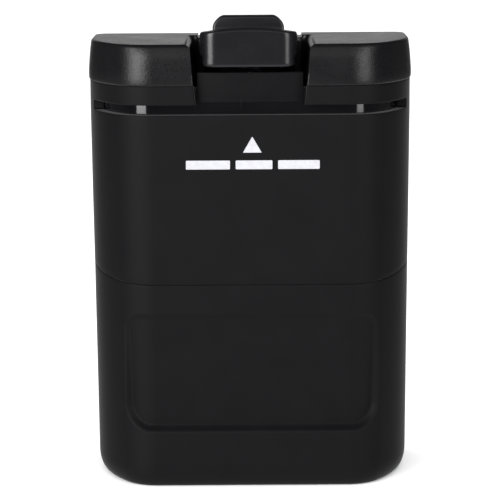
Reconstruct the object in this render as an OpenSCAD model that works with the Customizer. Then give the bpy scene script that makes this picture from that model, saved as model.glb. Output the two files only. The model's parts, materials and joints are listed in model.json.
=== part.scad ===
// Slide-in rechargeable battery pack with a press-down latch.
// Frame: millimetres, +Z up, origin at the centre of the base.
// The rounded front faces -Y and the flat back faces +Y.

/* [Cells] */
// Diameter of one round cell
cell_d = 18.4; // [14:0.1:22.5]
// Length of one round cell
cell_len = 65.2; // [50:0.1:80]
// Gap between neighbouring cells
cell_gap = 0.7; // [0.6:0.1:2]

/* [Case] */
// Wall thickness of the case
wall = 2.4; // [2:0.1:3]
// Space between the outer cells and the side walls
side_gap = 0.75; // [0.7:0.05:3]
// Space between the front cells and the front wall
front_gap = 1.6; // [1.5:0.1:3]
// Space between the rear cells and the rear wall
rear_gap = 0.8; // [0.8:0.1:3]
// Space from the base to the underside of the cells
under_cells = 16.7; // [15.5:0.1:22]
// Space from the top of the cells to the top of the case
over_cells = 19.9; // [18:0.1:26]
// Height of the parting line at the front
parting_z = 52; // [46:0.5:58]
// Rise of the parting line from front to back
parting_rise = 4.6; // [0:0.1:6]
// Step inwards from the upper case to the lower case
step_in = 0.2; // [0.1:0.05:0.6]
// Inward draft of the case for each millimetre below the slot
draft = 0.01; // [0:0.001:0.012]

/* [Plan] */
// Radius of the front corners
front_r = 12; // [10:0.5:14]
// Radius of the bowed sides
side_r = 37; // [33:0.5:44]
// Distance from the front at which the sides run straight
side_run = 27; // [24:0.5:29]
// Radius of the rear corners
back_r = 4; // [3:0.1:6]
// Distance inwards of the rounded bottom edge
base_run = 2.3; // [1.5:0.1:4]
// Height of the rounded bottom edge
base_rise = 5; // [3.6:0.1:7]

/* [Front] */
// Height of the slot across the front
slot_h = 2.5; // [1.5:0.1:4]
// Height of the band above the slot
band_h = 4.7; // [3:0.1:7]
// Distance of the slot's ends from the front
slot_run = 17; // [12:0.5:20]
// Half width of the grip recess
grip_half_w = 32; // [24:0.5:33]
// Height of the lower edge of the grip recess
grip_low_z = 14.8; // [12:0.1:20]
// Height of the upper edge of the grip recess
grip_high_z = 44.6; // [36:0.1:48]
// Depth of the grip recess at its lower edge
grip_low_depth = 1.8; // [1:0.1:2.2]
// Depth of the grip recess at its upper edge
grip_high_depth = 0.6; // [0.4:0.1:1.4]
// Corner radius at the bottom of the grip recess
grip_low_r = 7; // [3:0.5:9]
// Corner radius at the top of the grip recess
grip_high_r = 4; // [2:0.5:9]

/* [Cap and latch] */
// Height of the top cap
cap_h = 10.2; // [8:0.1:14]
// Thickness of the top cap
cap_t = 2; // [1.5:0.1:3]
// Half width of the notch in the cap
notch_half_w = 13.5; // [11.5:0.1:18]
// Depth of the latch pocket from the front
pocket_run = 33; // [29:0.5:34]
// Half width of the latch's thumb block
thumb_half_w = 12.05; // [9:0.05:12.6]
// Height of the thumb block
thumb_h = 9.5; // [7:0.1:11]
// Height of the thumb block's top above the cap
thumb_rise = 3.9; // [3:0.1:6]
// Height of the hook above the cap
hook_rise = 6.7; // [5:0.1:10]
// Half width of the hook
hook_half_w = 8.9; // [6:0.1:10]
// Radius of the latch pin
pin_r = 1.25; // [1:0.05:1.6]
// Wire diameter of the latch spring
spring_wire = 0.7; // [0.5:0.05:0.9]
// Outer radius of the latch spring
spring_r = 3.2; // [2.5:0.1:4]

/* [Electrical] */
// Half width of the terminal socket's body
socket_half_w = 15.4; // [13:0.1:15.8]
// Height of the terminal socket's body
socket_h = 9.2; // [7:0.1:9.4]
// Thickness of the circuit board
board_t = 1.6; // [1:0.1:2]
// Radius of the power leads
lead_r = 1.2; // [0.8:0.1:1.3]

/* [Hidden] */
$fn = 48;
clear = 0.2;
running = 0.05;
fine = 0.02;
pitch = cell_d + cell_gap;
row_step = pitch * sqrt(3) / 2;
cell_r = cell_d / 2;
half_w = (3 * pitch + cell_d) / 2 + side_gap + wall;
half_d = (row_step + cell_d + front_gap + rear_gap) / 2 + wall;
front_row_y = -half_d + wall + front_gap + cell_r;
rear_row_y = front_row_y + row_step;
cells = [for (i = [0:6]) [(i - 3) * pitch / 2, i % 2 == 0 ? rear_row_y : front_row_y]];
cell_low_z = under_cells;
cell_high_z = cell_low_z + cell_len;
case_top = cell_high_z + over_cells;
cap_top = case_top + cap_h;
slot_low_z = case_top - band_h - slot_h;
slot_high_z = case_top - band_h;
parting_angle = atan(parting_rise / (2 * half_d));

side_centre = [half_w - side_r, -half_d + side_run];
front_offset = sqrt(pow(side_r - front_r, 2) - pow(side_run - front_r, 2));
front_centre = [side_centre[0] + front_offset, -half_d + front_r];
corner_angle = atan2(front_centre[1] - side_centre[1], front_centre[0] - side_centre[0]);

lip_h = 2.4;
lip_t = 1;
ledge_t = 1.6;
frame_t = 1.6;
frame_in = wall + clear;
frame_low_z = slot_low_z - 2.7;
deck_t = 1.6;
deck_top = slot_high_z + 2.1;
notch_wall_z = case_top + 3.2;

holder_h = 9;
holder_in = wall + 0.2;
strip_t = 0.25;
sheet_t = 0.3;
layer_gap = 0.05;
rib_top = cell_low_z - 1.8;
foam_t = 1;

boss_r = 2.7;
case_screw_x = pitch;
case_screw_y = rear_row_y + cell_r - 1.4;
case_screws_at = [for (s = [-1, 1]) [s * case_screw_x, case_screw_y]];
case_screw_head = [2.2, 1.8];
case_screw_r = 1.3;
screw_seat_z = parting_z - 6;
case_screw_reach = 16;
neck_screw_head = [1.9, 1.6];
neck_screw_r = 1;
board_screw_head = [1.7, 1.3];
board_screw_r = 0.9;

grip_backing = 1.2;
board_z = cell_high_z + 5.1;
board_in = wall + 3;
board_post_r = 2.1;
neck_bosses = [
    for (s = [-1, 1]) [s * (half_w - wall - 3), -half_d + side_run - 7],
    for (s = [-1, 1]) [s * (half_w - wall - 4.6), half_d - wall - 3.1]
];
board_posts = [
    for (s = [-1, 1]) [s * (front_centre[0] + 8), neck_bosses[0][1] - 4.6],
    for (p = case_screws_at) p - [0, 0.4]
];

barrel_r = 3.2;
pivot_y = -half_d + pocket_run - barrel_r - 0.8;
pivot_z = cap_top - barrel_r + 0.4;
arm_t = 2.8;
arm_top = cap_top + 0.4;
arm_half_w = notch_half_w - 2.5;
ear_t = 1.7;
ear_out = notch_half_w - 0.4;
ear_low_y = -half_d + 20;
ear_high_y = pivot_y + 2.6;
bridge_drop = 0.7;
thumb_front = -half_d - 0.2;
thumb_t = 2;
thumb_arch_r = 72;
stop_half_w = 8;
stop_t = 1.8;
stop_drop = 3;
hook_y = -half_d + 8;
hook_t = 2.8;
spring_y = -half_d + 13;
spring_seat_r = spring_r - spring_wire - 0.5;
stop_y = pivot_y - 1 - layer_gap;
spring_coils = 6;
label_half_w = 22;
label_low_z = parting_z + 9;
label_high_z = slot_low_z - 6;
label_t = 0.3;
rail_proud = 0.6;
rail_x = 27;
rail_w = 3;

socket_low_z = 3.6;
socket_front = half_d - 11.5;
socket_back = half_d - 0.4;
well_half_w = socket_half_w - 1.4;
well_low = socket_low_z + 1;
well_high = socket_low_z + socket_h - 1.2;
well_front = half_d - 9;
contact_x = [-9.9, -3.3, 3.3, 9.9];
contact_t = 0.4;
contact_w = 4;
contact_tail = 2.8;

sense_at = [for (s = [-1, 1]) [s * pitch / 2, -half_d + wall + grip_backing + 1.1]];
sense_r = 0.5;
thermistor_at = [pitch / 2, front_row_y + row_step / 3];
corner_lead_at = [half_w - wall - 2.2, half_d - wall - 2.2];
corner_lead_r = 0.9;
channel_half_w = case_screw_x - boss_r / 2;

cell_nodes = [for (i = [1:7]) str("cell_", i)];
link_nodes = [for (i = [1:6]) str("link_", i)];
contact_nodes = [for (i = [1:4]) str("terminal_contact_", i)];

// ---- plan outline -------------------------------------------------------

function arc(c, r, a0, a1, n) = [for (i = [0:n]) let (a = a0 + (a1 - a0) * i / n) c + r * [cos(a), sin(a)]];

// Right half of the plan, moved inwards by d, and by back_d at the rear.
function half_plan(d, back_d) =
    let (r = max(back_r - d, 0.4))
    concat(
        arc(front_centre, front_r - d, -90, corner_angle, 10),
        [for (k = [1:8]) let (a = corner_angle * (1 - k / 8)) side_centre + (side_r - d) * [cos(a), sin(a)]],
        arc([half_w - d - r, half_d - back_d - r], r, 0, 90, 4)
    );

function plan(d, back_d) =
    let (right = half_plan(d, is_undef(back_d) ? d : back_d), n = len(right))
    concat(right, [for (i = [n - 1:-1:0]) [-right[i][0], right[i][1]]]);

// Solid through the plan at each [height, inset, rear inset].
module loft(levels) {
    rings = [for (l = levels) plan(l[1], l[2])];
    n = len(rings[0]);
    m = len(levels);
    polyhedron(
        points = [for (j = [0:m - 1]) for (p = rings[j]) [p[0], p[1], levels[j][0]]],
        faces = concat(
            [[for (i = [0:n - 1]) i]],
            [for (j = [0:m - 2]) for (i = [0:n - 1])
                let (k = (i + 1) % n) [j * n + i, (j + 1) * n + i, (j + 1) * n + k, j * n + k]],
            [[for (i = [n - 1:-1:0]) (m - 1) * n + i]]
        )
    );
}

module plan_prism(z0, z1, d, back_d) {
    translate([0, 0, z0]) linear_extrude(z1 - z0) polygon(plan(d, back_d));
}

module box(low, high) {
    translate(low) cube(high - low);
}

module post(at, r, z0, z1) {
    translate([at[0], at[1], z0]) cylinder(r = r, h = z1 - z0);
}

// Everything below the sloping parting plane, lifted by a height.
module below_parting(lift) {
    translate([0, -half_d, parting_z + lift]) rotate([parting_angle, 0, 0])
        translate([-100, -60, -200]) cube([200, 200, 200]);
}

// Round tube along a path, closed at its ends.
module tube(path, r, sides) {
    m = len(path);
    function dir(i) = let (v = path[min(i + 1, m - 1)] - path[max(i - 1, 0)]) v / norm(v);
    function side_of(t) = let (u = abs(t[2]) > 0.9 ? cross(t, [1, 0, 0]) : cross(t, [0, 0, 1])) u / norm(u);
    rings = [for (i = [0:m - 1]) let (t = dir(i), u = side_of(t), v = cross(t, u))
        for (k = [0:sides - 1]) path[i] + r * (u * cos(360 * k / sides) + v * sin(360 * k / sides))];
    polyhedron(
        points = rings,
        faces = concat(
            [[for (k = [0:sides - 1]) k]],
            [for (i = [0:m - 2]) for (k = [0:sides - 1]) let (q = (k + 1) % sides)
                [i * sides + k, (i + 1) * sides + k, (i + 1) * sides + q, i * sides + q]],
            [[for (k = [sides - 1:-1:0]) (m - 1) * sides + k]]
        )
    );
}

// ---- case ---------------------------------------------------------------

// Inset of the outer skin at a height.
function upper_skin(z) = draft * max(slot_low_z - z, 0);
function lower_skin(z) = step_in + draft * (slot_low_z - z);

// Levels of a rounded bottom edge, which is smaller at the rear.
function base_levels(d, rear, run, rise, z0) = [for (k = [0:5]) let (i = run * (1 - sin(18 * k)))
    [z0 + rise * (1 - cos(18 * k)), d + i, rear + i / 4]];

module grip_outline(grow) {
    half = grip_half_w + grow;
    low = grip_low_z - grow;
    high = grip_high_z + grow;
    low_r = grip_low_r + grow;
    high_r = grip_high_r + grow;
    polygon(concat(
        arc([half - low_r, low + low_r], low_r, -90, 0, 8),
        arc([half - high_r, high - high_r], high_r, 0, 90, 6),
        arc([-half + high_r, high - high_r], high_r, 90, 180, 6),
        arc([-half + low_r, low + low_r], low_r, 180, 270, 8)
    ));
}

// The grip recess follows the rounded front and gets deeper downwards.
module grip_recess() {
    intersection() {
        translate([0, -half_d + 6, 0]) rotate([90, 0, 0]) linear_extrude(12) grip_outline(-0.5);
        difference() {
            plan_prism(grip_low_z - 2, grip_high_z + 2, -2, -2);
            loft([
                [grip_low_z - 3, lower_skin(grip_low_z - 3) + grip_low_depth, 0],
                [grip_high_z + 3, lower_skin(grip_high_z + 3) + grip_high_depth, 0]
            ]);
        }
    }
}

// Guide ribs on the flat back.
module rails(z0, z1) {
    for (x = [-rail_x, rail_x])
        box([x - rail_w / 2, half_d - 1, z0], [x + rail_w / 2, half_d + rail_proud, z1]);
}

module lower_case() {
    color("#17181a") difference() {
        union() {
            difference() {
                union() {
                    intersection() {
                        loft(concat(
                            base_levels(lower_skin(base_rise), step_in, base_run, base_rise, 0),
                            [[parting_z + 8, lower_skin(parting_z + 8), step_in]]
                        ));
                        below_parting(0);
                    }
                    intersection() {
                        difference() {
                            plan_prism(parting_z - 3, parting_z + 8, wall - lip_t, wall - lip_t);
                            for (p = case_screws_at) post(p, boss_r + clear, parting_z - 4, parting_z + 9);
                        }
                        below_parting(lip_h);
                    }
                }
                loft(concat(
                    base_levels(wall, wall, base_run, base_rise - wall + 0.6, wall),
                    [[parting_z + 12, wall, wall]]
                ));
            }
            intersection() {
                box(
                    [-grip_half_w, -half_d + 1, grip_low_z - 3],
                    [grip_half_w, -half_d + wall + grip_backing, grip_high_z + 3]
                );
                plan_prism(grip_low_z - 3, grip_high_z + 3, lower_skin(0) + 0.1, 0);
            }
            for (p = case_screws_at) intersection() {
                post(p, boss_r, 1, parting_z + 8);
                below_parting(-0.1);
            }
            for (x = [-25, -11, 11, 25])
                box([x - 0.7, -half_d + wall + 3, wall - 0.2], [x + 0.7, socket_front - 4, rib_top]);
            for (x = [-8, 8])
                box([x - 1, socket_front + 1, wall - 0.2], [x + 1, half_d - 4, socket_low_z - layer_gap]);
            intersection() {
                rails(20, parting_z + 8);
                below_parting(0);
            }
        }
        grip_recess();
        for (p = case_screws_at) {
            post(p, case_screw_head[0] + 0.15, -1, screw_seat_z);
            post(p, case_screw_r + clear, -1, parting_z + 10);
        }
        box(
            [-socket_half_w - clear, half_d - 5, socket_low_z - layer_gap / 2],
            [socket_half_w + clear, half_d + 2, socket_low_z + socket_h + clear]
        );
    }
}

module upper_case() {
    color("#17181a") difference() {
        union() {
            difference() {
                loft([[parting_z - 2, upper_skin(parting_z - 2), 0], [slot_low_z, 0, 0], [case_top, 0, 0]]);
                below_parting(layer_gap);
                plan_prism(parting_z - 10, case_top + 1, wall, wall);
                intersection() {
                    plan_prism(parting_z - 10, parting_z + 14, wall - lip_t - clear, wall - lip_t - clear);
                    below_parting(lip_h + clear);
                }
            }
            difference() {
                plan_prism(frame_low_z - ledge_t - 0.1, frame_low_z - 0.1, wall - 0.4, wall - 0.4);
                plan_prism(frame_low_z - 4, frame_low_z + 1, wall + ledge_t, wall + ledge_t);
            }
            for (p = neck_bosses) intersection() {
                post(p, boss_r, frame_low_z - 6, frame_low_z - 0.1);
                plan_prism(frame_low_z - 8, frame_low_z, 1, 1);
            }
            for (p = case_screws_at) difference() {
                post(p, boss_r, parting_z, parting_z + 13);
                below_parting(0.1);
            }
            difference() {
                rails(parting_z, slot_low_z);
                below_parting(layer_gap);
            }
        }
        box([-half_w - 2, -half_d - 2, slot_low_z], [half_w + 2, -half_d + slot_run, slot_high_z]);
        box([-notch_half_w, -half_d - 2, slot_low_z + 1], [notch_half_w, -half_d + slot_run, case_top + 1]);
        for (p = neck_bosses) post(p, neck_screw_r + fine, frame_low_z - 5, frame_low_z + 1);
        for (p = case_screws_at) post(p, case_screw_r + fine, parting_z, parting_z + 11.5);
        label_pocket();
    }
}

module label_pocket() {
    box(
        [-label_half_w - clear, half_d - label_t - fine, label_low_z - clear],
        [label_half_w + clear, half_d + 1, label_high_z + clear]
    );
}

module rear_label() {
    color("#c9cacb")
        box([-label_half_w, half_d - label_t, label_low_z], [label_half_w, half_d - fine, label_high_z]);
}

module neck_frame() {
    color("#0d0d0f") difference() {
        union() {
            difference() {
                plan_prism(frame_low_z, case_top - 0.4, frame_in, frame_in);
                plan_prism(frame_low_z - 1, case_top + 1, frame_in + frame_t, frame_in + frame_t);
            }
            plan_prism(deck_top - deck_t, deck_top, frame_in + 0.5, frame_in + 0.5);
            box(
                [-notch_half_w + 0.3, -half_d + frame_in, frame_low_z],
                [notch_half_w - 0.3, -half_d + frame_in + frame_t, notch_wall_z]
            );
            ears();
            post([0, spring_y], spring_seat_r, deck_top - 0.5, deck_top + 3);
            box(
                [-stop_half_w, stop_y - stop_t, deck_top - 0.5],
                [stop_half_w, stop_y, pivot_z - barrel_r - 0.3]
            );
            intersection() {
                for (p = neck_bosses) post(p, boss_r - 0.3, frame_low_z, deck_top);
                plan_prism(frame_low_z, deck_top, frame_in, frame_in);
            }
        }
        for (p = neck_bosses) {
            post(p, neck_screw_r + clear, frame_low_z - 1, deck_top + 1);
            post(p, neck_screw_head[0] + clear, deck_top, case_top);
        }
        along_x(pin_r + fine, half_w);
    }
}

// The two ears that hold the latch pin.
module ears() {
    for (s = [-1, 1])
        translate([s * (ear_out - ear_t / 2), 0, 0])
            box([-ear_t / 2, ear_low_y, deck_top - 0.5], [ear_t / 2, ear_high_y, cap_top - bridge_drop]);
}

// Round bar along the latch's axis.
module along_x(r, half_len) {
    translate([-half_len, pivot_y, pivot_z]) rotate([0, 90, 0]) cylinder(r = r, h = 2 * half_len);
}

module top_cap() {
    back = -half_d + pocket_run;
    color("#101012") difference() {
        union() {
            difference() {
                loft([
                    [case_top + layer_gap, -0.15, 0], [case_top + 3.7, -0.3, 0], [cap_top - 3, -0.05, 0.1],
                    [cap_top - 1.4, 0.25, 0.3], [cap_top - 0.5, 0.7, 0.7], [cap_top, 1.5, 1.5]
                ]);
                plan_prism(case_top - 1, cap_top - cap_t, cap_t, cap_t);
            }
            box(
                [-notch_half_w - cap_t, -half_d + 1.5, case_top + layer_gap],
                [notch_half_w + cap_t, back + cap_t, cap_top - 1]
            );
            for (s = [-1, 1], y = [-half_d + 11, half_d - 12])
                post([s * 25, y], 2, deck_top + clear, cap_top - 1);
        }
        box([-notch_half_w, -half_d - 2, case_top - 2], [notch_half_w, back, cap_top + 1]);
        box([-notch_half_w, back - 1, cap_top - bridge_drop], [notch_half_w, half_d + 1, cap_top + 1]);
    }
}

// ---- latch --------------------------------------------------------------

module latch_lever() {
    top = cap_top + thumb_rise;
    low = arm_top - arm_t;
    color("#0f0f12") difference() {
        union() {
            intersection() {
                union() {
                    for (b = [[thumb_t, top - thumb_h], [5, low]])
                        box([-thumb_half_w, thumb_front, b[1]], [thumb_half_w, thumb_front + b[0], top]);
                }
                translate([0, thumb_front - 1, top - thumb_arch_r]) rotate([-90, 0, 0])
                    cylinder(r = thumb_arch_r, h = 12, $fn = 200);
            }
            box([-arm_half_w, thumb_front + thumb_t, low], [arm_half_w, pivot_y, arm_top]);
            along_x(barrel_r, arm_half_w);
            hook();
            post([0, spring_y], spring_seat_r, low - 2, arm_top - 1);
            box(
                [-stop_half_w, pivot_y - 1, pivot_z - barrel_r - stop_drop],
                [stop_half_w, pivot_y + 1, pivot_z]
            );
        }
        along_x(pin_r + running, half_w);
    }
}

// Upright slab that catches in the appliance.
module hook() {
    top = cap_top + hook_rise;
    corner = [[3.1, 0], [1.7, 0.6], [0.5, 1.5], [0, 2.3]];
    translate([0, hook_y + hook_t, 0]) rotate([90, 0, 0]) linear_extrude(hook_t)
        polygon(concat(
            [[-hook_half_w, arm_top - 1], [hook_half_w, arm_top - 1]],
            [for (c = corner) [hook_half_w - c[1], top - c[0]]],
            [for (i = [3:-1:0]) [-hook_half_w + corner[i][1], top - corner[i][0]]]
        ));
}

module latch_pin() {
    color("#b9bbbf") along_x(pin_r, ear_out);
}

module latch_spring() {
    low = deck_top + spring_wire / 2 + layer_gap;
    high = arm_top - arm_t - spring_wire / 2 - layer_gap;
    turn = 14;
    mean_r = spring_r - spring_wire / 2;
    color("#9a9ca1") tube(
        [for (i = [0:turn * spring_coils]) let (a = 360 * i / turn)
            [mean_r * cos(a), spring_y + mean_r * sin(a), low + (high - low) * i / (turn * spring_coils)]],
        spring_wire / 2, 8);
}

// ---- cells --------------------------------------------------------------

module cell(i) {
    up = i % 2 == 0;
    nub = 0.8;
    color("#2f6f8f") translate([cells[i][0], cells[i][1], cell_low_z]) {
        translate([0, 0, up ? 0 : nub]) cylinder(r = cell_r, h = cell_len - nub);
        translate([0, 0, up ? cell_len - nub - 0.5 : 0]) cylinder(r = 3.1, h = nub + 0.5);
    }
}

module holder(z0) {
    z1 = z0 + holder_h;
    difference() {
        plan_prism(z0, z1, holder_in, holder_in);
        box([-half_w, -half_d, z0 - 1], [half_w, -half_d + wall + grip_backing + 0.1, z1 + 1]);
        for (c = cells) post(c, cell_r + 0.1, z0 - 1, z1 + 1);
        for (p = sense_at) post(p, 1.3, z0 - 1, z1 + 1);
        post(thermistor_at, 1.1, z0 - 1, z1 + 1);
        post(corner_lead_at, corner_lead_r + 0.3, z0 - 1, z1 + 1);
        box([-channel_half_w, rear_row_y + 4, z0 - 1], [channel_half_w, half_d, z1 + 1]);
    }
}

module holder_lower() {
    color("#c9c8c0") difference() {
        holder(cell_low_z);
        for (p = case_screws_at) post(p, boss_r + 0.4, cell_low_z - 1, cell_low_z + holder_h + 1);
    }
}

module holder_upper() {
    color("#c9c8c0") difference() {
        union() {
            holder(cell_high_z - holder_h);
            for (p = board_posts) post(p, board_post_r, cell_high_z - holder_h, board_z);
        }
        for (p = board_posts) post(p, board_screw_r + fine, board_z - 5.5, board_z + 1);
    }
}

// Nickel strip between two points, with round ends.
module strip(a, b, z, end_r, end_w) {
    post(a, 3.5, z, z + strip_t);
    post(b, end_r, z, z + strip_t);
    translate([a[0], a[1], z]) rotate([0, 0, atan2(b[1] - a[1], b[0] - a[0])])
        translate([0, -end_w / 2, 0]) cube([norm(b - a), end_w, strip_t]);
}

// Link between cell i and the next. The outer lower links also carry an ear for a sense lead.
module link(i) {
    z = i % 2 == 0 ? cell_high_z + layer_gap : cell_low_z - layer_gap - strip_t;
    color("#c4c5c8") {
        strip(cells[i - 1], cells[i], z, 3.5, 6);
        if (i == 1) strip(cells[1], sense_at[0], z, 0.8, 1.6);
        if (i == 5) strip(cells[5], sense_at[1], z, 0.8, 1.6);
    }
}

module tab_positive() {
    z = cell_high_z + layer_gap;
    c = cells[0];
    color("#c4c5c8") {
        post(c, 3.5, z, z + strip_t);
        box([c[0] - 2.5, c[1] - 6, z], [c[0] + 2.5, c[1], z + strip_t]);
        box([c[0] - 2.5, c[1] - 6, z], [c[0] + 2.5, c[1] - 6 + strip_t, board_z - layer_gap]);
    }
}

module tab_negative() {
    color("#c4c5c8")
        strip(cells[6], corner_lead_at, cell_low_z - layer_gap - strip_t, corner_lead_r + 0.2, 2.4);
}

module insulator(z) {
    color("#2f7d4f") difference() {
        plan_prism(z, z + sheet_t, wall + 1.6, wall + 1.6);
        for (p = case_screws_at) post(p, boss_r + 0.5, z - 1, z + 1);
        box([-channel_half_w / 2, rear_row_y + 4, z - 1], [channel_half_w / 2, half_d, z + 1]);
        children();
    }
}

module insulator_lower() {
    insulator(cell_low_z - 2 * layer_gap - strip_t - sheet_t);
}

module insulator_upper() {
    z = cell_high_z + 2 * layer_gap + strip_t;
    insulator(z) {
        for (p = board_posts) post(p, board_post_r + 0.4, z - 1, z + 1);
        box([cells[0][0] - 3, cells[0][1] - 7, z - 1], [cells[0][0] + 3, cells[0][1] - 5, z + 1]);
        for (p = sense_at) post(p, 1.2, z - 1, z + 1);
        post(thermistor_at, 1.2, z - 1, z + 1);
        post(corner_lead_at, corner_lead_r + 0.8, z - 1, z + 1);
    }
}

module foam_pad() {
    z = rib_top + layer_gap;
    color("#3a3b3d") difference() {
        box([-28, -half_d + wall + 3, z], [28, socket_front - 4, z + foam_t]);
        post([0, front_row_y], 4, z - 1, z + 3);
    }
}

// ---- electronics --------------------------------------------------------

module control_board() {
    color("#1f6b3a") difference() {
        plan_prism(board_z, board_z + board_t, board_in, board_in);
        for (p = board_posts) post(p, 1.2, board_z - 1, board_z + 3);
        for (p = neck_bosses) post(p, boss_r + 0.6, board_z - 1, board_z + 3);
        box([-half_w, -half_d, board_z - 1], [half_w, -half_d + wall + 3.2, board_z + 3]);
    }
}

board_top = board_z + board_t + layer_gap;

module power_transistors() {
    color("#222222") for (i = [0:3]) translate([-24 + 8.5 * i, 4, board_top]) {
        cube([6.5, 6, 2.2]);
        translate([0.8, 5.9, 0]) cube([4.9, 1.3, 0.6]);
        for (x = [1, 4.6]) translate([x, -2.4, 0]) cube([0.9, 2.5, 0.5]);
    }
}

module controller_chip() {
    color("#1b1b1d") {
        box([2, -8, board_top], [12, 0, board_top + 1.5]);
        for (i = [0:7]) {
            box([2.5 + 1.2 * i, -9.2, board_top], [3 + 1.2 * i, -7.9, board_top + 0.4]);
            box([2.5 + 1.2 * i, -0.1, board_top], [3 + 1.2 * i, 1.2, board_top + 0.4]);
        }
    }
}

module sense_connector() {
    color("#e6e3d6") difference() {
        box([-22, -12, board_top], [-4, -7, board_top + 5]);
        box([-21, -11.2, board_top + 1], [-5, -7.8, board_top + 6]);
    }
}

module shunt_resistor() {
    color("#5b5148") box([15, 3, board_top], [22, 7, board_top + 1]);
}

module capacitors() {
    color("#2b2b30") for (x = [17, 25]) post([x, -6], 2.6, board_top, board_top + 5.2);
}

module fuse() {
    color("#d8d5c8") {
        box([14, 10.4, board_top], [24, 13.6, board_top + 2.8]);
        box([13, 10.8, board_top], [14.1, 13.2, board_top + 2.4]);
        box([23.9, 10.8, board_top], [25, 13.2, board_top + 2.4]);
    }
}

module thermistor() {
    bead_z = cell_high_z - 14;
    color("#1d1d1d") {
        translate([thermistor_at[0], thermistor_at[1], bead_z]) sphere(r = 0.9, $fn = 24);
        post(thermistor_at, 0.5, bead_z, board_z - layer_gap);
    }
}

// Power lead: down behind the cells, forward over the socket and down to its solder tag.
module power_lead(x) {
    bend = 1.8;
    back_y = half_d - wall - lead_r - 0.3;
    over_z = socket_low_z + socket_h + lead_r + clear;
    front_y = socket_front - contact_tail / 2 - 0.1;
    tag_z = well_low + 2 * contact_t + fine + layer_gap;
    turns = [0:15:90];
    tube(concat(
        [[x, back_y, board_z - layer_gap], [x, back_y, (board_z + over_z) / 2]],
        [for (a = turns) [x, back_y - bend * (1 - cos(a)), over_z + bend * (1 - sin(a))]],
        [for (a = turns) [x, front_y + bend * (1 - sin(a)), over_z - bend * (1 - cos(a))]],
        [[x, front_y, tag_z]]
    ), lead_r, 10);
}

module lead_positive() {
    color("#b3261e") power_lead(contact_x[1]);
}

module lead_negative() {
    color("#1a1a1a") power_lead(contact_x[2]);
}

// Lead from the last cell's lower tab up the corner and across to the board.
module cell_lead_negative() {
    p = corner_lead_at;
    low = cell_high_z + 1;
    high = board_z - layer_gap;
    inner = [cells[6][0] - 3, p[1] - 7];
    color("#1a1a1a") tube(concat(
        [[p[0], p[1], cell_low_z + layer_gap], [p[0], p[1], low - 2]],
        [for (k = [0:6]) let (t = k / 6, u = t * t * (3 - 2 * t))
            [p[0] + (inner[0] - p[0]) * u, p[1] + (inner[1] - p[1]) * u, low + (high - low - 1.4) * t]],
        [[inner[0], inner[1], high]]
    ), corner_lead_r, 8);
}

module sense_lead(at) {
    post(at, sense_r, cell_low_z, board_z - layer_gap);
}

module sense_lead_left() {
    color("#d9b13b") sense_lead(sense_at[0]);
}

module sense_lead_right() {
    color("#3b6fd9") sense_lead(sense_at[1]);
}

module terminal_block() {
    low = [-socket_half_w, socket_front, socket_low_z];
    high = [socket_half_w, socket_back, socket_low_z + socket_h];
    color("#1c1d1f") difference() {
        box(low, high);
        box([-well_half_w, well_front, well_low], [well_half_w, half_d + 2, well_high]);
        for (x = contact_x) box(
            [x - contact_w / 2 - 0.1, socket_front - 1, well_low + contact_t],
            [x + contact_w / 2 + 0.1, well_front + 1, well_low + 2 * contact_t + 0.1]
        );
    }
}

// Leaf contact on the floor of the socket, with a raised hump and a tail through the rear of the body.
module terminal_contact(i) {
    base = well_low + contact_t + fine;
    front = socket_front - contact_tail;
    back = half_d - 1.6;
    mid = (well_front + back) / 2;
    color("#caa64a") translate([contact_x[i] - contact_w / 2, 0, 0]) rotate([90, 0, 90])
        linear_extrude(contact_w) polygon([
            [front, base], [well_front + 0.8, base], [mid, base + 0.5], [back, base - contact_t + fine],
            [back, base], [mid + 0.2, base + contact_t + 0.5], [well_front + 0.8, base + contact_t],
            [front, base + contact_t]
        ]);
}

// ---- fasteners ----------------------------------------------------------

// Screw with a cross recess. Its shank runs down from the seat, or up where down is false.
module screw(at, seat, r, reach, head, down) {
    flip = down ? -1 : 1;
    difference() {
        union() {
            translate([at[0], at[1], min(seat, seat + flip * reach)]) cylinder(r = r, h = reach);
            translate([at[0], at[1], down ? seat : seat - head[1]]) cylinder(r = head[0], h = head[1]);
        }
        for (a = [0, 90]) translate([at[0], at[1], seat - flip * head[1]]) rotate([0, 0, a])
            cube([head[0] * 1.3, 0.6, 1.6], center = true);
    }
}

module case_screws() {
    color("#8d8f93") for (p = case_screws_at)
        screw(p, screw_seat_z, case_screw_r, case_screw_reach, case_screw_head, false);
}

module neck_screws() {
    reach = deck_top - frame_low_z + 4.5;
    color("#8d8f93") for (p = neck_bosses) screw(p, deck_top, neck_screw_r, reach, neck_screw_head, true);
}

module board_screws() {
    color("#8d8f93") for (p = board_posts)
        screw(p, board_z + board_t, board_screw_r, board_t + 5, board_screw_head, true);
}

// ---- nodes --------------------------------------------------------------

lower_case();
upper_case();
neck_frame();
top_cap();
latch_lever();
latch_pin();
latch_spring();
terminal_block();
for (i = [0:3]) terminal_contact(i);
for (i = [0:6]) cell(i);
holder_lower();
holder_upper();
for (i = [1:6]) link(i);
tab_positive();
tab_negative();
insulator_lower();
insulator_upper();
foam_pad();
control_board();
power_transistors();
controller_chip();
sense_connector();
shunt_resistor();
capacitors();
fuse();
thermistor();
lead_positive();
lead_negative();
cell_lead_negative();
sense_lead_left();
sense_lead_right();
case_screws();
neck_screws();
board_screws();
rear_label();
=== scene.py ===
"""Looks of an upright slide-in battery pack with a press-down latch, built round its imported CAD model.

Sizes are in millimetres and turn into metres where a mesh is made. +Z is up, the rounded front faces -Y and the
flat back faces +Y. Outlines, heights and the latch's place come from the frame's boxes; radii and insets that a
box can't tell are named fields of the piece that has them.
"""

import json
import logging
import math
from dataclasses import dataclass, field
from enum import Enum

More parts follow.
